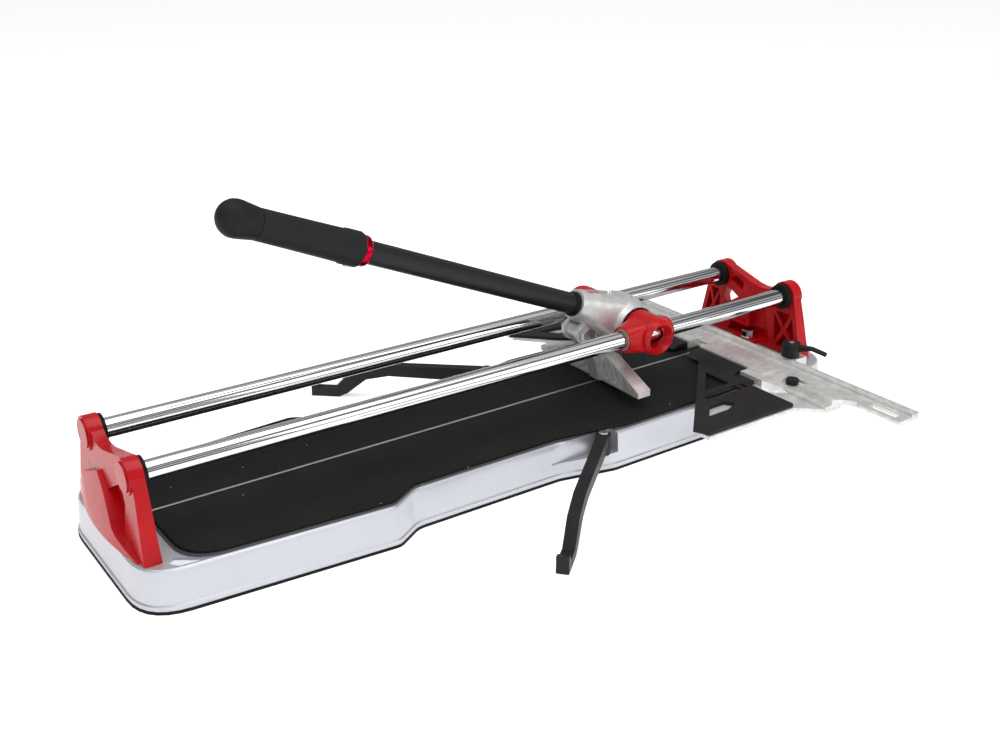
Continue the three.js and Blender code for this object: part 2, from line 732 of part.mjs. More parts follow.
function wingPockets(sign) {
  const cells = [[13, 32], [33, 51], [52, 69], [70, 86]];
  const height = (y) => [59 + y * 0.09, 96 - y * 0.27];
  return cells.flatMap(([a, b]) => {
    const [la, ha] = height(a);
    const [lb, hb] = height(b);
    const shift = (y) => carriageX - 32 - 16 * (y - 4) / 96;
    const depth = 5;
    const triangles = [[[a, la], [b - 4, lb], [a, ha - 6]], [[b, lb + 5], [b, hb], [a + 4, ha]]];
    return triangles.map((points) => {
      const base = shift((a + b) / 2);
      return profileX(points.map(([y, z]) => [sign * y, z]), base - 8, base + depth);
    });
  });
}

function footBody() {
  const knee = [-1, 1].flatMap((sign) => circleY(8, sign * (lugGap - 0.5), carriageX - 37, 90));
  const stem = hull([
    ...circleY(11, -lugGap + 0.5, pinX, pinZ),
    ...circleY(11, lugGap - 0.5, pinX, pinZ),
    ...knee,
  ]);
  const post = hull([
    ...knee,
    ...[-lugGap, lugGap].flatMap((y) => [
      new THREE.Vector3(carriageX - 36, y, footFloor),
      new THREE.Vector3(carriageX - 16, y, footFloor),
      new THREE.Vector3(carriageX - 17, y, 84),
    ]),
  ]);
  const body = joined([stem, post, wing(-1), wing(1)]);
  const bore = rodY(boltRadius + turning, -40, 40, pinX, pinZ, 20);
  const clear = rodY(headRadius + 4.4, -120, 120, carriageX, railHeight, 32);
  const wheelSpace = box(wheelX - 15, wheelX + 30, -14, 14, 40, 110);
  return cut(body, [bore, clear, wheelSpace, ...wingPockets(-1), ...wingPockets(1)]);
}

node('breaker_foot', 'castAluminium', footBody());
node('breaker_bolt', 'steel', joined([
  rodY(boltRadius, -lugHalf - 2, lugHalf + 4, pinX, pinZ, 20),
  rodY(boltHead, -lugHalf - 8, -lugHalf - touch, pinX, pinZ, 6),
]));
node('breaker_nut', 'steel', rodY(boltHead - 0.5, lugHalf + touch, lugHalf + 8, pinX, pinZ, 6)
  .subtract(rodY(boltRadius + touch, 0, 60, pinX, pinZ, 20)));

// ---------------------------------------------------------------- far stop

const deckClear = matTop + 0.6;
const plateTop = deckClear + plateThick;
const vCorner = [-touch, -12];
const vOutline = [
  vCorner,
  [-touch, -101],
  [-14, -101],
  [-14, -128],
  [-26, -128],
  [-26, -wingOut],
  [-167, -wingOut],
  [-176, vCorner[1] - (vCorner[0] + 176)],
].reverse();
const vWindows = [
  [[-45, -72], [-45, -114], [-86, -114]],
  [[-45, -124], [-45, -136], [-99, -136], [-105, -130], [-99, -124]],
  [[-91, -152], [-83, -164], [-104, -172], [-136, -173], [-115, -152]],
  [[-33, -124], [-33, -136], [-39, -136], [-39, -124]],
];

// Local x = 0 is the stop face.
function vPlate() {
  const windows = vWindows.map((w) => slab([...w].reverse(), 0, 100));
  const whole = cut(slab(vOutline, deckClear, plateTop), windows);
  const rib = [[-26, plateTop - 1], [-17, plateTop + 4.6], [-touch, plateTop + 4.6], [-touch, plateTop - 1]];
  const strip = hull(rib
    .flatMap(([x, z]) => [new THREE.Vector3(x, -13, z), new THREE.Vector3(x, -100, z)]));
  return whole.add(strip).translate([fenceX, 0, 0]);
}

const plate = vPlate();
node('v_plate_front', 'black', plate);
node('v_plate_rear', 'black', plate.mirror([0, 1, 0]));

function wingHalf() {
  const wall = 134.5;
  const floor = deckClear - 4.8;
  const under = slab([
    [fenceX - 124, -wall], [fenceX - 170, -186], [fenceX - 170, -(wingOut + 3)], [fenceX - 26, -(wingOut + 3)],
    [fenceX + 3, -236], [rulerNear - 2, -236], [rulerNear - 2, -wall],
  ], floor, deckClear - touch);
  const bar = box(fenceX, fenceX + fenceBar, -127, -fenceGap, deckClear, fenceTop);
  const block = box(fenceX - 13, fenceX + fenceBar, -140, -101 - touch, deckClear, fenceTop - 2.5);
  const bridge = box(fenceX, rulerNear - 1, -236, -126, deckClear, plateTop - 1)
    .add(box(fenceX + 1, rulerNear - 2, -235, -wall, deckClear - 2, deckClear + 1));
  const raised = box(fenceX + 9, rulerNear - 1, -236, -184, plateTop - 2, fenceTop);
  const web = slab([[fenceX + 9, -234], [rulerNear - 1, -234], [rulerNear - 1, -259], [rulerNear - 4, -250],
    [rulerNear - 9, -243], [rulerNear - 16, -238.5]].reverse(), plateTop, fenceTop);
  const ramp = hull([
    ...[[fenceX - 13, -139.5], [fenceX + fenceBar, -139.5]].flatMap(([x, y]) => [
      new THREE.Vector3(x, y, deckClear), new THREE.Vector3(x, y, fenceTop - 2.5)]),
    ...[[fenceX - 25.5, -152], [fenceX + 14, -184], [fenceX + fenceBar, -168]]
      .map(([x, y]) => new THREE.Vector3(x, y, deckClear)),
  ]).subtract(vPlate());
  const well = rodZ(12.5, plateTop - 1, 90, knobX, knobY, 20);
  const bed = box(fenceX, rulerNear + rulerWidth + 16, -126, -fenceGap, deckClear, deckClear + 3.4);
  return joined([under, bar, block, bridge, raised, web, ramp, bed]).subtract(well);
}

function castingBody() {
  const half = wingHalf();
  const across = fenceGap + 1;
  const link = box(fenceX + 18, rulerNear + rulerWidth + 16, -across, across, deckClear, deckClear + 3.4);
  const back = box(fenceX + 21, fenceX + fenceBar, -across, across, deckClear, fenceTop - 3);
  const post = box(rulerNear + rulerWidth + 1, rulerNear + rulerWidth + 22, camY - 14, camY + 14, deckClear,
    camLow - 0.6);
  const stud = rodZ(4 + touch, deckClear + 4, 90, camX, camY);
  const knobHole = rodZ(3.2 + touch, deckClear + 0.5, 90, knobX, knobY);
  return cut(joined([half, half.mirror([0, 1, 0]), link, back, post]), [stud, knobHole]);
}

node('stop_casting', 'castAluminium', castingBody());

function rulerBody() {
  const low = deckClear + 3.4 + sliding;
  const far = rulerNear + rulerWidth;
  const section = [
    [rulerNear, low], [far, low], [far, rulerRise - 0.4], [far - 3.5, rulerRise - 0.4],
    [far - 3.5, rulerRise - 2.6], [far - 9, rulerRise - 2.6], [far - 9, rulerRise - 0.4],
    [far - 13, rulerRise - 0.4], [far - 13, low + 5], [rulerNear, low + 5],
  ];
  const bar = profileY(section, rulerTip, rulerRear);
  const slot = slab([[far - 29, rulerTip + 12], [far - 19, rulerTip + 12], [far - 19, rulerTip + 52],
    [far - 29, rulerTip + 52]], 0, 100);
  return bar.subtract(slot);
}

node('ruler', 'castAluminium', rulerBody());

const knobSeat = plateTop - 1 + touch;
node('stop_knob', 'black', joined([
  rodZ(8.4, knobSeat, knobSeat + 7, knobX, knobY, 8),
  rodZ(3.2, deckClear + 1, knobSeat + 1, knobX, knobY),
]));
node('cam_stud', 'steel', rodZ(4, deckClear + 4.3, camHigh + 2, camX, camY));

function camBody() {
  const low = camLow;
  const hub = rodZ(camRadius, low, camHigh, camX, camY, 24);
  const turn = THREE.MathUtils.degToRad(-62);
  const blade = new THREE.ExtrudeGeometry(flatShape([
    [4, 6], [14, 9], [28, 12.4], [47, 7.4], [47, 10.4], [28, 15.8], [10, 16], [4, 16],
  ].reverse()), { depth: 9, bevelEnabled: false });
  blade.translate(0, 0, -4.5);
  blade.rotateX(Math.PI / 2);
  blade.rotateZ(turn);
  blade.translate(camX, camY, low);
  const bore = rodZ(4 + turning, low - 1, camHigh + 5, camX, camY);
  return hub.add(solid(blade)).subtract(bore);
}

node('cam_lever', 'black', camBody());

// ---------------------------------------------------------------- folding supports

const armSide = [
  [0, armTop], [150, armTop], [armLength - 56, 38], [armLength - 32, 12], [armLength - 10, 12],
  [armLength - 8.5, 19], [armLength, 21], [armLength, touch], [armLength - 38, touch], [armLength - 50, 6],
  [armLength - 76, 27], [133, 33.5], [0, 30],
];

function armBody(sign) {
  const blade = profileY(armSide, -armHalf, armHalf);
  const head = rodZ(armHalf + 2, recessFloor + touch, armTop, 0, 0, 24);
  const bore = rodZ(armPinRadius + turning, 0, 100, 0, 0);
  const lean = 180 + sign * -armOpen;
  return blade.add(head).subtract(bore).rotate([0, 0, lean]).translate([armPivotX, sign * armPivotY, 0]);
}

[['front', -1], ['rear', 1]].forEach(([side, sign]) => {
  node(`arm_${side}`, 'black', armBody(sign));
  node(`arm_pin_${side}`, 'chrome', joined([
    rodZ(armPinRadius, recessFloor - trayWall - 2, armTop + 1, armPivotX, sign * armPivotY),
    rodZ(armPinHead, armTop + turning, armTop + 2.2, armPivotX, sign * armPivotY, 20),
  ]));
});

// Origin: centre of the underside of the whole cutter.
const extent = new THREE.Box3().setFromObject(root);
const middle = extent.getCenter(new THREE.Vector3());
root.position.set(-middle.x, -middle.y, -extent.min.z);
root.updateMatrixWorld(true);

export default root;
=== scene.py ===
"""Looks of the manual two-rail tile cutter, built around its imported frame."""

import logging
import math
from dataclasses import dataclass
from enum import Enum
from typing import Callable, Union

import bmesh
import bpy
from mathutils import Matrix, Vector


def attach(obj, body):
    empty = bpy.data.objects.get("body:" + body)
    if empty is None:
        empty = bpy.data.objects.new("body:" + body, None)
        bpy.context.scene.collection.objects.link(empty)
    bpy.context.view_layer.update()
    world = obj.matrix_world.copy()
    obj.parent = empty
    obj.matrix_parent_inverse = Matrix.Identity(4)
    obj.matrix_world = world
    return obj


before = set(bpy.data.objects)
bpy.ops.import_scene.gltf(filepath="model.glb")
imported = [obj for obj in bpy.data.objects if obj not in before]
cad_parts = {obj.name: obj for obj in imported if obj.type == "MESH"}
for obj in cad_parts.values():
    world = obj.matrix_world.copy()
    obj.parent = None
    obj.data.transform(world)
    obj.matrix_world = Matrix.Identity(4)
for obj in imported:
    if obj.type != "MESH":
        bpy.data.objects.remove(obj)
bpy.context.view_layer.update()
LOG = logging.getLogger("tile_cutter")

Colour = tuple[float, float, float]
Point = tuple[float, float, float]


class Side(Enum):
    """The two sides of the table, by the sign of Y."""

    FRONT = -1
    REAR = 1


class Slot(Enum):
    """Material slots of the record."""

    SILVER = "silver"
    CAST_ALUMINIUM = "cast_aluminium"
    RED_GLOSS = "red_gloss"
    CHROME = "chrome"
    STEEL = "steel"
    BLACK_PLASTIC = "black_plastic"
    GREY_PLASTIC = "grey_plastic"
    RUBBER = "rubber"
    RUBBER_MAT = "rubber_mat"
    DARK_DECK = "dark_deck"
    BLACK_TUBE = "black_tube"


# ---------------------------------------------------------------- shader maths


class Signal:
    """A value that varies over a surface, held as a node's output socket."""

    def __init__(self, graph: "Graph", socket: bpy.types.NodeSocket) -> None:
        """Wrap one socket.

        Args:
            graph: The material's graph that owns the socket.
            socket: The output socket.
        """
        self.graph = graph
        self.socket = socket

    def _maths(self, operation: str, first: "Number", second: "Number") -> "Signal":
        """Add one Math node.

        Args:
            operation: The Math node's operation.
            first: First operand.
            second: Second operand.

        Returns:
            The node's output.
        """
        return self.graph.add("ShaderNodeMath", {"operation": operation}, {0: first, 1: second})

    def __add__(self, other: "Number") -> "Signal":
        """Sum of the two."""
        return self._maths("ADD", self, other)

    def __radd__(self, other: "Number") -> "Signal":
        """Sum with the number on the left."""
        return self._maths("ADD", other, self)

    def __sub__(self, other: "Number") -> "Signal":
        """Difference of the two."""
        return self._maths("SUBTRACT", self, other)

    def __rsub__(self, other: "Number") -> "Signal":
        """Difference with the number on the left."""
        return self._maths("SUBTRACT", other, self)

    def __mul__(self, other: "Number") -> "Signal":
        """Product of the two."""
        return self._maths("MULTIPLY", self, other)

    def __rmul__(self, other: "Number") -> "Signal":
        """Product with the number on the left."""
        return self._maths("MULTIPLY", other, self)


Number = Union[float, Signal]


class Graph:
    """One material's node tree around its Principled shader."""

    def __init__(self, name: str) -> None:
        """Start a material.

        Args:
            name: The material's name.
        """
        self.material = bpy.data.materials.new(name)
        self.material.use_nodes = True
        self.tree = self.material.node_tree
        self.shader = self.tree.nodes["Principled BSDF"]
        self._place: Signal | None = None

    def add(self, kind: str, settings: dict, inputs: dict, output: int | str = 0) -> Signal:
        """Add any node.

        Args:
            kind: The node's type.
            settings: Attributes set first; "stops" fills a colour ramp.
            inputs: Values or signals by socket name or number.
            output: Which output to return.

        Returns:
            The chosen output.
        """
        node = self.tree.nodes.new(kind)
        for name, value in settings.items():
            if name == "stops":
                ramp = node.color_ramp.elements
                for index, (position, shade) in enumerate(value):
                    stop = ramp[index] if index < 2 else ramp.new(position)
                    stop.position = position
                    stop.color = (shade, shade, shade, 1.0)
            else:
                setattr(node, name, value)
        for name, value in inputs.items():
            if isinstance(value, Signal):
                self.tree.links.new(value.socket, node.inputs[name])
            else:
                node.inputs[name].default_value = value
        return Signal(self, node.outputs[output])

    def place(self, stretch: Point = (1.0, 1.0, 1.0)) -> Signal:
        """Position on the object in metres.

        Args:
            stretch: Scale of each axis, to draw a pattern out along one.

        Returns:
            The position vector.
        """
        if self._place is None:
            self._place = self.add("ShaderNodeTexCoord", {}, {}, "Object")
        if stretch == (1.0, 1.0, 1.0):
            return self._place
        return self.add(
            "ShaderNodeVectorMath", {"operation": "MULTIPLY"}, {0: self._place, 1: stretch}
        )

    def clouds(
        self, per_metre: float, detail: float = 3.0, stretch: Point = (1.0, 1.0, 1.0)
    ) -> Signal:
        """Noise between 0 and 1.

        Args:
            per_metre: Cells in a metre.
            detail: Octaves.
            stretch: Scale of each axis.

        Returns:
            The noise.
        """
        return self.add(
            "ShaderNodeTexNoise",
            {},
            {
                "Vector": self.place(stretch),
                "Scale": per_metre,
                "Detail": detail,
                "Roughness": 0.55,
            },
        )

    def pits(self, per_metre: float) -> Signal:
        """Distance to the nearest of scattered points.

        Args:
            per_metre: Cells in a metre.

        Returns:
            The distance, small at each point.
        """
        return self.add("ShaderNodeTexVoronoi", {}, {"Vector": self.place(), "Scale": per_metre})

    def steep(self, signal: Signal, low: float, high: float) -> Signal:
        """Contrast.

        Args:
            signal: What is sharpened.
            low: Value that becomes 0.
            high: Value that becomes 1.

        Returns:
            The sharpened value.
        """
        return self.add(
            "ShaderNodeMapRange",
            {"clamp": True},
            {"Value": signal, "From Min": low, "From Max": high, "To Min": 0.0, "To Max": 1.0},
        )

    def tint(self, share: Signal, low: Colour, high: Colour) -> Signal:
        """Colour between two.

        Args:
            share: 0 gives low, 1 gives high.
            low: First colour.
            high: Second colour.

        Returns:
            The mixed colour.
        """
        sockets = {0: share, 6: (*low, 1.0), 7: (*high, 1.0)}
        return self.add("ShaderNodeMix", {"data_type": "RGBA"}, sockets, 2)

    def relief(self, height: Signal, strength: float, depth: float) -> Signal:
        """Bump.

        Args:
            height: Height between 0 and 1.
            strength: Share of the effect.
            depth: Height of 1, in metres.

        Returns:
            The normal.
        """
        return self.add(
            "ShaderNodeBump", {}, {"Height": height, "Strength": strength, "Distance": depth}
        )

    def finish(self, varying: dict[str, Signal], fixed: dict[str, float]) -> bpy.types.Material:
        """Feed the shader.

        Args:
            varying: Signals by the shader's socket name.
            fixed: Plain numbers by the shader's socket name.

        Returns:
            The material.
        """
        for name, value in fixed.items():
            self.shader.inputs[name].default_value = value
        for name, signal in varying.items():
            self.tree.links.new(signal.socket, self.shader.inputs[name])
        return self.material


# ---------------------------------------------------------------- finishes


@dataclass(frozen=True)
class Finish:
    """A surface with its slot in the record; each kind draws its own material."""

    slot: Slot
    title: str

    def material(self) -> bpy.types.Material:
        """Return the material, made once."""
        made = bpy.data.materials.get(self.title)
        return made if made is not None else self.draw()

    def draw(self) -> bpy.types.Material:
        """Make the material."""
        raise NotImplementedError


@dataclass(frozen=True)
class Enamel(Finish):
    """Gloss enamel over a casting."""

    colour: Colour = (0.57, 0.006, 0.011)
    shade: Colour = (0.44, 0.003, 0.007)
    roughness: float = 0.27

    def draw(self) -> bpy.types.Material:
        """Make the material: even colour, faint waviness of the casting, orange peel."""
        g = Graph(self.title)
        waves = g.clouds(28.0, 2.0)
        peel = g.clouds(900.0, 2.0)
        height = 0.75 * waves + 0.25 * peel
        rough = self.roughness + 0.08 * g.clouds(60.0) - 0.03
        return g.finish(
            {
                "Base Color": g.tint(g.steep(waves, 0.3, 0.75), self.shade, self.colour),
                "Roughness": rough,
                "Normal": g.relief(height, 0.3, 0.0006),
            },
            {"Coat Weight": 0.1, "Coat Roughness": 0.1, "Specular IOR Level": 0.22},
        )


@dataclass(frozen=True)
class CastMetal(Finish):
    """Tumbled cast aluminium with a fine grain."""

    colour: Colour = (0.78, 0.78, 0.765)
    shade: Colour = (0.60, 0.60, 0.585)
    roughness: float = 0.42
    grain: float = 1400.0

    def draw(self) -> bpy.types.Material:
        """Make the material: cloudy skin, grain and small pits."""
        g = Graph(self.title)
        skin = g.clouds(90.0, 5.0)
        grain = g.clouds(self.grain, 3.0)
        pits = g.steep(g.pits(420.0), 0.02, 0.12)
        height = 0.45 * grain + 0.35 * skin + 0.2 * pits
        return g.finish(
            {
                "Base Color": g.tint(g.steep(skin, 0.32, 0.68), self.shade, self.colour),
                "Roughness": self.roughness - 0.1 + 0.26 * g.clouds(260.0, 4.0),
                "Normal": g.relief(height, 0.35, 0.0004),
            },
            {"Metallic": 0.62},
        )


@dataclass(frozen=True)
class SatinPaint(Finish):
    """Satin paint or anodising on pressed metal."""

    colour: Colour = (0.62, 0.63, 0.675)
    shade: Colour = (0.53, 0.54, 0.585)
    roughness: float = 0.34
    metallic: float = 0.6
    peel: float = 0.0001
    level: float = 0.5

    def draw(self) -> bpy.types.Material:
        """Make the material: slight cloudiness and a fine metal flake."""
        g = Graph(self.title)
        cloud = g.clouds(14.0, 4.0)
        flake = g.clouds(2600.0, 1.0)
        return g.finish(
            {
                "Base Color": g.tint(0.7 * cloud + 0.3 * flake, self.shade, self.colour),
                "Roughness": self.roughness - 0.05 + 0.12 * g.clouds(120.0, 3.0),
                "Normal": g.relief(0.6 * flake + 0.4 * g.clouds(300.0), 0.25, self.peel),
            },
            {"Metallic": self.metallic, "Specular IOR Level": self.level},
        )


@dataclass(frozen=True)
class Polished(Finish):
    """Polished or ground steel, streaked along one way."""

    colour: Colour = (0.80, 0.81, 0.83)
    shade: Colour = (0.70, 0.71, 0.73)
    roughness: float = 0.06
    along: Point = (0.02, 1.0, 1.0)
    streak: float = 900.0

    def draw(self) -> bpy.types.Material:
        """Make the material: streaks in colour, roughness and relief."""
        g = Graph(self.title)
        streaks = g.clouds(self.streak, 3.0, self.along)
        return g.finish(
            {
                "Base Color": g.tint(streaks, self.shade, self.colour),
                "Roughness": self.roughness - 0.02 + 0.05 * g.clouds(180.0) + 0.04 * streaks,
                "Normal": g.relief(streaks, 0.06, 0.00005),
            },
            {"Metallic": 1.0},
        )


@dataclass(frozen=True)
class Ribbed(Finish):
    """Soft rubber with fine rings across the lever."""

    colour: Colour = (0.016, 0.016, 0.017)
    shade: Colour = (0.010, 0.010, 0.011)
    roughness: float = 0.62
    pitch: float = 0.0022
    slope: float = 22.65

    def draw(self) -> bpy.types.Material:
        """Make the material: rings at the pitch along the lever, grain between them."""
        g = Graph(self.title)
        lean = math.radians(self.slope)
        along = g.add(
            "ShaderNodeVectorMath",
            {"operation": "DOT_PRODUCT"},
            {0: g.place(), 1: (math.cos(lean), 0.0, -math.sin(lean))},
            "Value",
        )
        phase = along * (2.0 * math.pi / self.pitch)
        rings = g.add("ShaderNodeMath", {"operation": "SINE"}, {0: phase})
        raised = g.steep(rings, -0.2, 0.9)
        grain = g.clouds(900.0, 2.0)
        return g.finish(
            {
                "Base Color": g.tint(0.5 * raised + 0.5 * g.clouds(30.0), self.shade, self.colour),
                "Roughness": self.roughness - 0.05 + 0.14 * g.clouds(60.0),
                "Normal": g.relief(0.7 * raised + 0.3 * grain, 0.4, 0.0003),
            },
            {"Specular IOR Level": 0.25},
        )


@dataclass(frozen=True)
class Moulded(Finish):
    """Moulded plastic or rubber with a spark-eroded grain."""

    colour: Colour = (0.014, 0.014, 0.0155)
    shade: Colour = (0.008, 0.008, 0.009)
    roughness: float = 0.46
    grain: float = 1100.0
    depth: float = 0.00025
    level: float = 0.12

    def draw(self) -> bpy.types.Material:
        """Make the material: grain, dulled patches and a little dust."""
        g = Graph(self.title)
        grain = g.clouds(self.grain, 2.0)
        patch = g.clouds(22.0, 4.0)
        cells = g.steep(g.pits(self.grain * 0.7), 0.0, 0.5)
        return g.finish(
            {
                "Base Color": g.tint(g.steep(patch, 0.35, 0.75), self.shade, self.colour),
                "Roughness": self.roughness - 0.06 + 0.16 * g.clouds(45.0, 4.0),
                "Normal": g.relief(0.5 * grain + 0.5 * cells, 0.4, self.depth),
            },
            {"Specular IOR Level": self.level},
        )


RED = Enamel(Slot.RED_GLOSS, "red_enamel")
RING_RED = Polished(
    Slot.RED_GLOSS,
    "red_anodised",
    colour=(0.55, 0.004, 0.03),
    shade=(0.40, 0.003, 0.02),
    roughness=0.2,
    along=(1.0, 0.1, 0.1),
)
CAST = CastMetal(Slot.CAST_ALUMINIUM, "tumbled_casting")
BAR = CastMetal(
    Slot.CAST_ALUMINIUM,
    "stop_aluminium",
    colour=(0.84, 0.84, 0.82),
    shade=(0.64, 0.64, 0.625),
    roughness=0.44,
)
TRAY = SatinPaint(Slot.SILVER, "silver_tray")
# The deck's dark grey is painted shade: the grey deck beside the mats is coloured as dark as it looks
# in shadow.
DECK = SatinPaint(
    Slot.DARK_DECK,
    "deck_painted_shade",
    colour=(0.10, 0.105, 0.11),
    shade=(0.07, 0.072, 0.076),
    roughness=0.42,
    metallic=0.3,
)
TUBE = SatinPaint(
    Slot.BLACK_TUBE,
    "powdered_tube",
    colour=(0.015, 0.015, 0.017),
    shade=(0.010, 0.010, 0.0115),
    roughness=0.4,
    metallic=0.0,
    level=0.3,
)
CHROME = Polished(Slot.CHROME, "chrome_rail")
BOLT = Polished(Slot.CHROME, "chrome_bolt", along=(1.0, 1.0, 0.1))
STEEL = Polished(
    Slot.STEEL,
    "bright_steel",
    colour=(0.62, 0.62, 0.63),
    shade=(0.46, 0.46, 0.47),
    roughness=0.26,
)
PLASTIC = Moulded(
    Slot.BLACK_PLASTIC,
    "moulded_black",
    colour=(0.019, 0.019, 0.020),
    shade=(0.012, 0.012, 0.013),
    level=0.2,
)
RUBBER = Moulded(
    Slot.RUBBER,
    "black_rubber",
    colour=(0.013, 0.013, 0.013),
    shade=(0.008, 0.008, 0.008),
    roughness=0.6,
    grain=700.0,
)
MAT = Moulded(
    Slot.RUBBER_MAT,
    "mat_rubber",
    colour=(0.0135, 0.013, 0.0127),
    shade=(0.009, 0.0088, 0.0085),
    roughness=0.56,
    grain=520.0,
    depth=0.0005,
    level=0.14,
)
GRIP = Ribbed(Slot.RUBBER, "grip_rubber")
BALL = Moulded(
    Slot.BLACK_PLASTIC,
    "ball_plastic",
    colour=(0.02, 0.02, 0.021),
    shade=(0.013, 0.013, 0.014),
    roughness=0.5,
    grain=900.0,
)
INK = Moulded(
    Slot.BLACK_PLASTIC,
    "scale_ink",
    colour=(0.03, 0.03, 0.03),
    shade=(0.02, 0.02, 0.02),
    roughness=0.6,
)
STUD = Moulded(
    Slot.RUBBER_MAT,
    "speck_grey",
    colour=(0.40, 0.40, 0.38),
    shade=(0.3, 0.3, 0.29),
    roughness=0.5,
)
GLIDE = Moulded(
    Slot.GREY_PLASTIC,
    "glide_grey",
    colour=(0.34, 0.32, 0.28),
    shade=(0.26, 0.245, 0.22),
    roughness=0.5,
)


# ---------------------------------------------------------------- making pieces


@dataclass(frozen=True)
class Softening:
    """Weld, bevel and weighted normals over a CAD node or a new piece."""

    width: float = 0.0006
    angle: float = 36.0
    segments: int = 2

    def apply_to(self, obj: bpy.types.Object) -> None:
        """Add the modifiers.

        Args:
            obj: The mesh object.
        """
        obj.data.polygons.foreach_set("use_smooth", [True] * len(obj.data.polygons))
        weld = obj.modifiers.new("weld", "WELD")
        weld.merge_threshold = 1e-5
        if self.width > 0.0:
            bevel = obj.modifiers.new("edges", "BEVEL")
            bevel.width = self.width
            bevel.segments = self.segments
            bevel.limit_method = "ANGLE"
            bevel.angle_limit = math.radians(self.angle)
            bevel.use_clamp_overlap = True
            bevel.harden_normals = False
        normals = obj.modifiers.new("normals", "WEIGHTED_NORMAL")
        normals.keep_sharp = False
        normals.weight = 60


Builder = Callable[[bmesh.types.BMesh], None]


class Workshop:
    """Dresses CAD nodes and makes new pieces."""

    def dress(self, finish: Finish, *nodes: str, soft: Softening = Softening()) -> None:
        """Give CAD nodes a finish and soft edges.

        Args:
            finish: The finish.
            *nodes: Names of the CAD nodes.
            soft: How the edges are softened.
        """
        for name in nodes:
            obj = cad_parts[name]
            obj.data.materials.clear()
            obj.data.materials.append(finish.material())
            soft.apply_to(obj)
            LOG.info("dressed %s as %s", name, finish.title)

    def piece(self, name: str, build: Builder, finish: Finish, body: str, soft: Softening) -> None:
        """Make a new piece that rides on a body.

        Args:
            name: The piece's name.
            build: Fills an empty mesh, in metres in the row frame.
            finish: The finish.
            body: The CAD body it moves with.
            soft: How the edges are softened.
        """
        mesh = bpy.data.meshes.new(name)
        bm = bmesh.new()
        build(bm)
        bmesh.ops.recalc_face_normals(bm, faces=bm.faces)
        bm.to_mesh(mesh)
        bm.free()
        obj = bpy.data.objects.new(name, mesh)
        bpy.context.scene.collection.objects.link(obj)
        mesh.materials.append(finish.material())
        soft.apply_to(obj)
        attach(obj, body)
        LOG.info("made %s on %s", name, body)


SHOP = Workshop()


def span_of(node: str, axis: int) -> tuple[float, float]:
    """Reach of a CAD node along one axis.

    Args:
        node: Name of the CAD node.
        axis: 0, 1 or 2.

    Returns:
        Its least and greatest coordinate, in metres.
    """
    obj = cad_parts[node]
    values = [(obj.matrix_world @ Vector(corner))[axis] for corner in obj.bound_box]
    return min(values), max(values)


def add_block(bm: bmesh.types.BMesh, low: Point, high: Point) -> None:
    """Add a box between two corners.

    Args:
        bm: The mesh that grows.
        low: Least corner, in metres.
        high: Greatest corner, in metres.
    """
    middle = (Vector(low) + Vector(high)) / 2.0
    size = Vector(high) - Vector(low)
    shape = Matrix.Translation(middle) @ Matrix.Diagonal((*size, 1.0))
    bmesh.ops.create_cube(bm, size=1.0, matrix=shape)


# ---------------------------------------------------------------- sub-assemblies


@dataclass
class Table:
    """Pressed tray, deck plate, mats and the rib they break over."""

    press_edge: float = 0.0012
    mat_edge: float = 0.0007
    speck_size: float = 0.0008
    flatness: float = 0.5
    specks: tuple[tuple[float, float], ...] = (
        (-0.3099, 0.0541),
        (-0.3929, 0.0551),
        (-0.2259, 0.0631),
        (-0.3359, -0.0059),
        (-0.1669, -0.0959),
        (-0.1039, -0.0909),
        (0.1951, -0.0929),
        (-0.2249, -0.1069),
    )

    def _specks(self, bm: bmesh.types.BMesh) -> None:
        """Raise the mat's pinhead studs.

        Args:
            bm: The mesh that grows.
        """
        height = span_of("mat_front", 2)[1]
        flatten = Matrix.Diagonal((1.0, 1.0, self.flatness, 1.0))
        for x, y in self.specks:
            shape = Matrix.Translation((x, y, height)) @ flatten
            bmesh.ops.create_uvsphere(
                bm, u_segments=14, v_segments=8, radius=self.speck_size, matrix=shape
            )

    def build(self) -> None:
        """Dress the table."""
        SHOP.dress(TRAY, "base_tray", soft=Softening(self.press_edge, 30.0, 3))
        SHOP.dress(RUBBER, "rubber_edge", soft=Softening(0.0004))
        # The deck plate takes the dark grey of painted shade.
        SHOP.dress(DECK, "deck_plate", soft=Softening(0.0003))
        SHOP.dress(MAT, "mat_front", "mat_rear", soft=Softening(self.mat_edge))
        SHOP.dress(STEEL, "breaking_rib", soft=Softening(0.0004))
        SHOP.piece("mat_studs", self._specks, STUD, "base", Softening(0.0))


@dataclass
class Towers:
    """End towers with their bolts, collars and rails."""

    cast_edge: float = 0.0011

    def build(self) -> None:
        """Dress the towers and rails."""
        SHOP.dress(RED, "near_tower", "far_tower", soft=Softening(self.cast_edge, 24.0, 3))
        SHOP.dress(BOLT, "near_tower_bolt", "far_tower_bolt", soft=Softening(0.0006))
        SHOP.dress(CHROME, "rail_front", "rail_rear", soft=Softening(0.0008))
        SHOP.dress(
            RUBBER,
            "near_collar_front",
            "near_collar_rear",
            "far_bumper_front",
            "far_bumper_rear",
        )


@dataclass
class Carriage:
    """Rail covers, glide rings, seals and the axle."""

    cast_edge: float = 0.0012

    def build(self) -> None:
        """Dress the carriage."""
        SHOP.dress(RED, "cover_front", "cover_rear", soft=Softening(self.cast_edge, 20.0, 3))
        for side in ("front", "rear"):
            SHOP.dress(GLIDE, f"bushing_{side}_near", f"bushing_{side}_far")
            SHOP.dress(RUBBER, f"pivot_seal_{side}")
        SHOP.dress(STEEL, "carriage_axle")


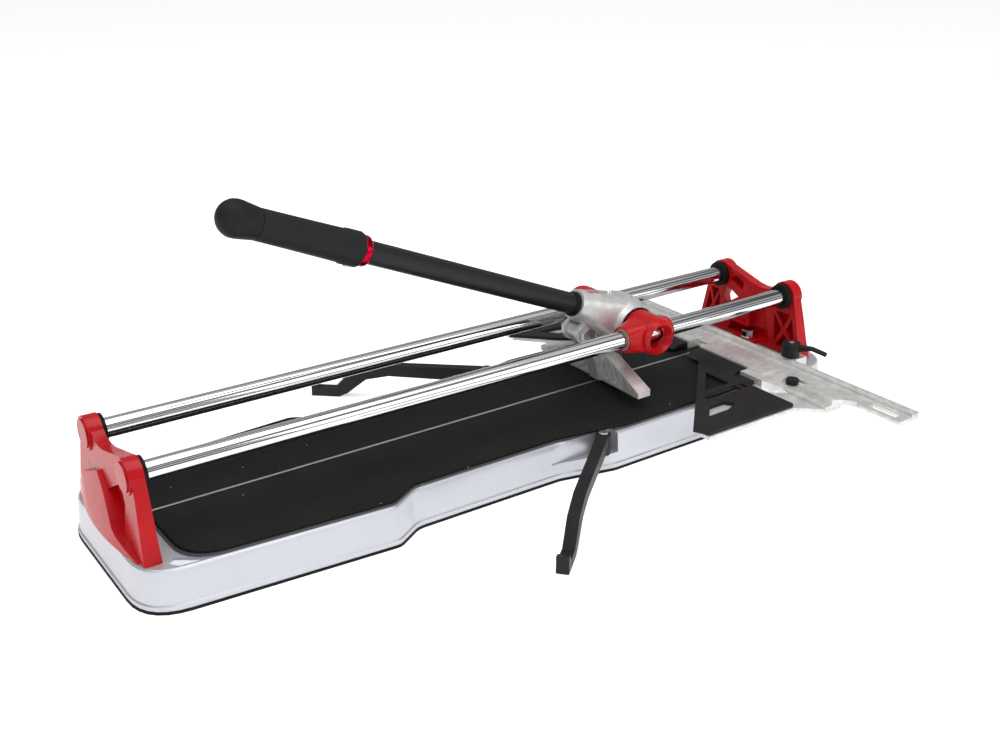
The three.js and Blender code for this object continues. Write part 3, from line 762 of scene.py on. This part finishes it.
@dataclass
class Lever:
    """Handle, head, scoring wheel and the breaking foot."""

    cast_edge: float = 0.001

    def build(self) -> None:
        """Dress the lever and what it carries."""
        cast = Softening(self.cast_edge, 24.0, 3)
        SHOP.dress(CAST, "lever_head", "breaker_foot", soft=cast)
        SHOP.dress(TUBE, "lever_tube")
        SHOP.dress(RUBBER, "tube_collar")
        SHOP.dress(GRIP, "grip_sleeve")
        SHOP.dress(BALL, "grip_ball")
        SHOP.dress(RING_RED, "grip_ring")
        SHOP.dress(RED, "lever_cap", soft=Softening(0.002, 30.0, 3))
        SHOP.dress(BOLT, "head_screw", "grip_screw")
        SHOP.dress(
            STEEL, "wheel_holder", "wheel_pin", "scoring_wheel", "breaker_bolt", "breaker_nut"
        )


@dataclass
class FarStop:
    """Stop casting, V plates, ruler and its cam clamp."""

    plate_edge: float = 0.0006
    bar_top: float = 0.064
    mark_step: float = 0.005
    mark_width: float = 0.0004
    mark_height: float = 0.00008
    long_mark: float = 0.006
    short_mark: float = 0.0035
    margin: float = 0.0012
    marks: int = 18
    centre_gap: float = 0.016

    def _marks(self, bm: bmesh.types.BMesh) -> None:
        """Rule the scale along the near edge of the stop's bar, every second mark longer.

        Args:
            bm: The mesh that grows.
        """
        start = span_of("v_plate_front", 0)[1] + self.margin
        middle = sum(span_of("stop_casting", 1)) / 2.0
        for side in Side:
            for index in range(self.marks):
                y = middle + side.value * (self.centre_gap + index * self.mark_step)
                reach = self.long_mark if index % 2 == 0 else self.short_mark
                add_block(
                    bm,
                    (start, y - self.mark_width / 2.0, self.bar_top),
                    (start + reach, y + self.mark_width / 2.0, self.bar_top + self.mark_height),
                )

    def build(self) -> None:
        """Dress the far stop."""
        SHOP.piece("stop_scale", self._marks, INK, "base", Softening(0.0))
        SHOP.dress(BAR, "stop_casting", "ruler", soft=Softening(0.0008, 30.0, 2))
        SHOP.dress(PLASTIC, "v_plate_front", "v_plate_rear", soft=Softening(self.plate_edge))
        SHOP.dress(PLASTIC, "stop_knob", "cam_lever")
        SHOP.dress(STEEL, "cam_stud")


@dataclass
class SideArms:
    """Folding side supports and their pins."""

    def build(self) -> None:
        """Dress the arms."""
        SHOP.dress(PLASTIC, "arm_front", "arm_rear", soft=Softening(0.0012, 30.0, 3))
        SHOP.dress(BOLT, "arm_pin_front", "arm_pin_rear")


@dataclass
class Studio:
    """Floor, light, camera and the way tones are shown."""

    lens: float = 44.37
    eye: Point = (-0.77245, -1.11757, 0.6862)
    yaw: float = 34.75
    pitch: float = 23.10
    roll: float = -0.19
    floor_half: float = 9.0
    floor_glow: float = 0.55
    room: float = 0.62
    exposure: float = 0.0
    bands: tuple[tuple[float, float], ...] = (
        (0.0, 0.03),
        (0.15, 0.04),
        (0.19, 1.0),
        (0.33, 1.0),
        (0.36, 0.06),
        (0.45, 0.08),
        (0.48, 0.8),
        (0.62, 0.7),
        (0.66, 0.12),
        (0.72, 0.12),
        (0.76, 1.0),
        (1.0, 1.0),
    )

    def _floor(self) -> None:
        """Lay a pale floor, lit a little from within so that it stays white."""
        mesh = bpy.data.meshes.new("floor")
        bm = bmesh.new()
        bmesh.ops.create_grid(bm, x_segments=2, y_segments=2, size=self.floor_half)
        bm.to_mesh(mesh)
        bm.free()
        floor = bpy.data.objects.new("floor", mesh)
        bpy.context.scene.collection.objects.link(floor)
        g = Graph("floor_paper")
        paper = g.tint(g.clouds(3.0, 2.0), (0.86, 0.86, 0.86), (0.88, 0.88, 0.88))
        fixed = {"Roughness": 0.9, "Emission Strength": self.floor_glow}
        mesh.materials.append(g.finish({"Base Color": paper}, fixed))

    def _lamp(
        self, name: str, at: Point, towards: Point, size: tuple[float, float], watts: float
    ) -> None:
        """Hang one soft box.

        Args:
            name: Its name.
            at: Where it hangs.
            towards: The point it faces.
            size: Width and height.
            watts: Power.
        """
        light = bpy.data.lights.new(name, "AREA")
        light.shape = "RECTANGLE"
        light.size, light.size_y = size
        light.energy = watts
        lamp = bpy.data.objects.new(name, light)
        lamp.location = at
        lamp.rotation_mode = "QUATERNION"
        lamp.rotation_quaternion = (Vector(towards) - Vector(at)).to_track_quat("-Z", "Y")
        bpy.context.scene.collection.objects.link(lamp)

    def _world(self) -> None:
        """Light the room in level bands, dark near the horizon, so that round steel shows stripes."""
        world = bpy.data.worlds.new("room")
        bpy.context.scene.world = world
        world.use_nodes = True
        tree = world.node_tree
        background = tree.nodes["Background"]
        background.inputs["Strength"].default_value = self.room
        where = tree.nodes.new("ShaderNodeTexCoord")
        split = tree.nodes.new("ShaderNodeSeparateXYZ")
        bands = tree.nodes.new("ShaderNodeValToRGB")
        stops = bands.color_ramp.elements
        for index, (height, grey) in enumerate(self.bands):
            stop = stops[index] if index < 2 else stops.new(height)
            stop.position = height
            stop.color = (grey, grey, grey, 1.0)
        tree.links.new(where.outputs["Generated"], split.inputs[0])
        tree.links.new(split.outputs["Z"], bands.inputs["Fac"])
        tree.links.new(bands.outputs["Color"], background.inputs["Color"])

    def _camera(self) -> None:
        """Set the camera."""
        data = bpy.data.cameras.new("camera")
        data.lens = self.lens
        data.sensor_width = 36.0
        data.clip_start, data.clip_end = 0.01, 100.0
        camera = bpy.data.objects.new("camera", data)
        yaw, pitch = math.radians(self.yaw), math.radians(self.pitch)
        ahead = Vector(
            (math.sin(yaw) * math.cos(pitch), math.cos(yaw) * math.cos(pitch), -math.sin(pitch))
        )
        aim = ahead.to_track_quat("-Z", "Y").to_matrix()
        turn = aim @ Matrix.Rotation(math.radians(self.roll), 3, "Z")
        camera.matrix_world = Matrix.Translation(self.eye) @ turn.to_4x4()
        bpy.context.scene.collection.objects.link(camera)
        bpy.context.scene.camera = camera

    def build(self) -> None:
        """Set the scene round the object."""
        self._floor()
        self._world()
        self._lamp("overhead", (-0.2, -0.2, 2.6), (0.0, 0.0, 0.0), (3.2, 2.2), 42.0)
        self._lamp("front_left", (-2.2, -2.4, 1.3), (0.0, 0.0, 0.1), (2.0, 1.6), 16.0)
        self._lamp("front_right", (1.6, -2.6, 1.2), (0.1, 0.0, 0.1), (1.6, 1.6), 14.0)
        self._camera()
        view = bpy.context.scene.view_settings
        view.view_transform = "Standard"
        view.look = "None"
        view.exposure = self.exposure


def main() -> None:
    """Build the cutter's looks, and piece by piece."""
    logging.basicConfig(level=logging.INFO, format="%(message)s")
    for part in (Table(), Towers(), Carriage(), Lever(), FarStop(), SideArms(), Studio()):
        part.build()
        LOG.info("finished %s", type(part).__name__)


if __name__ == "__main__":
    main()
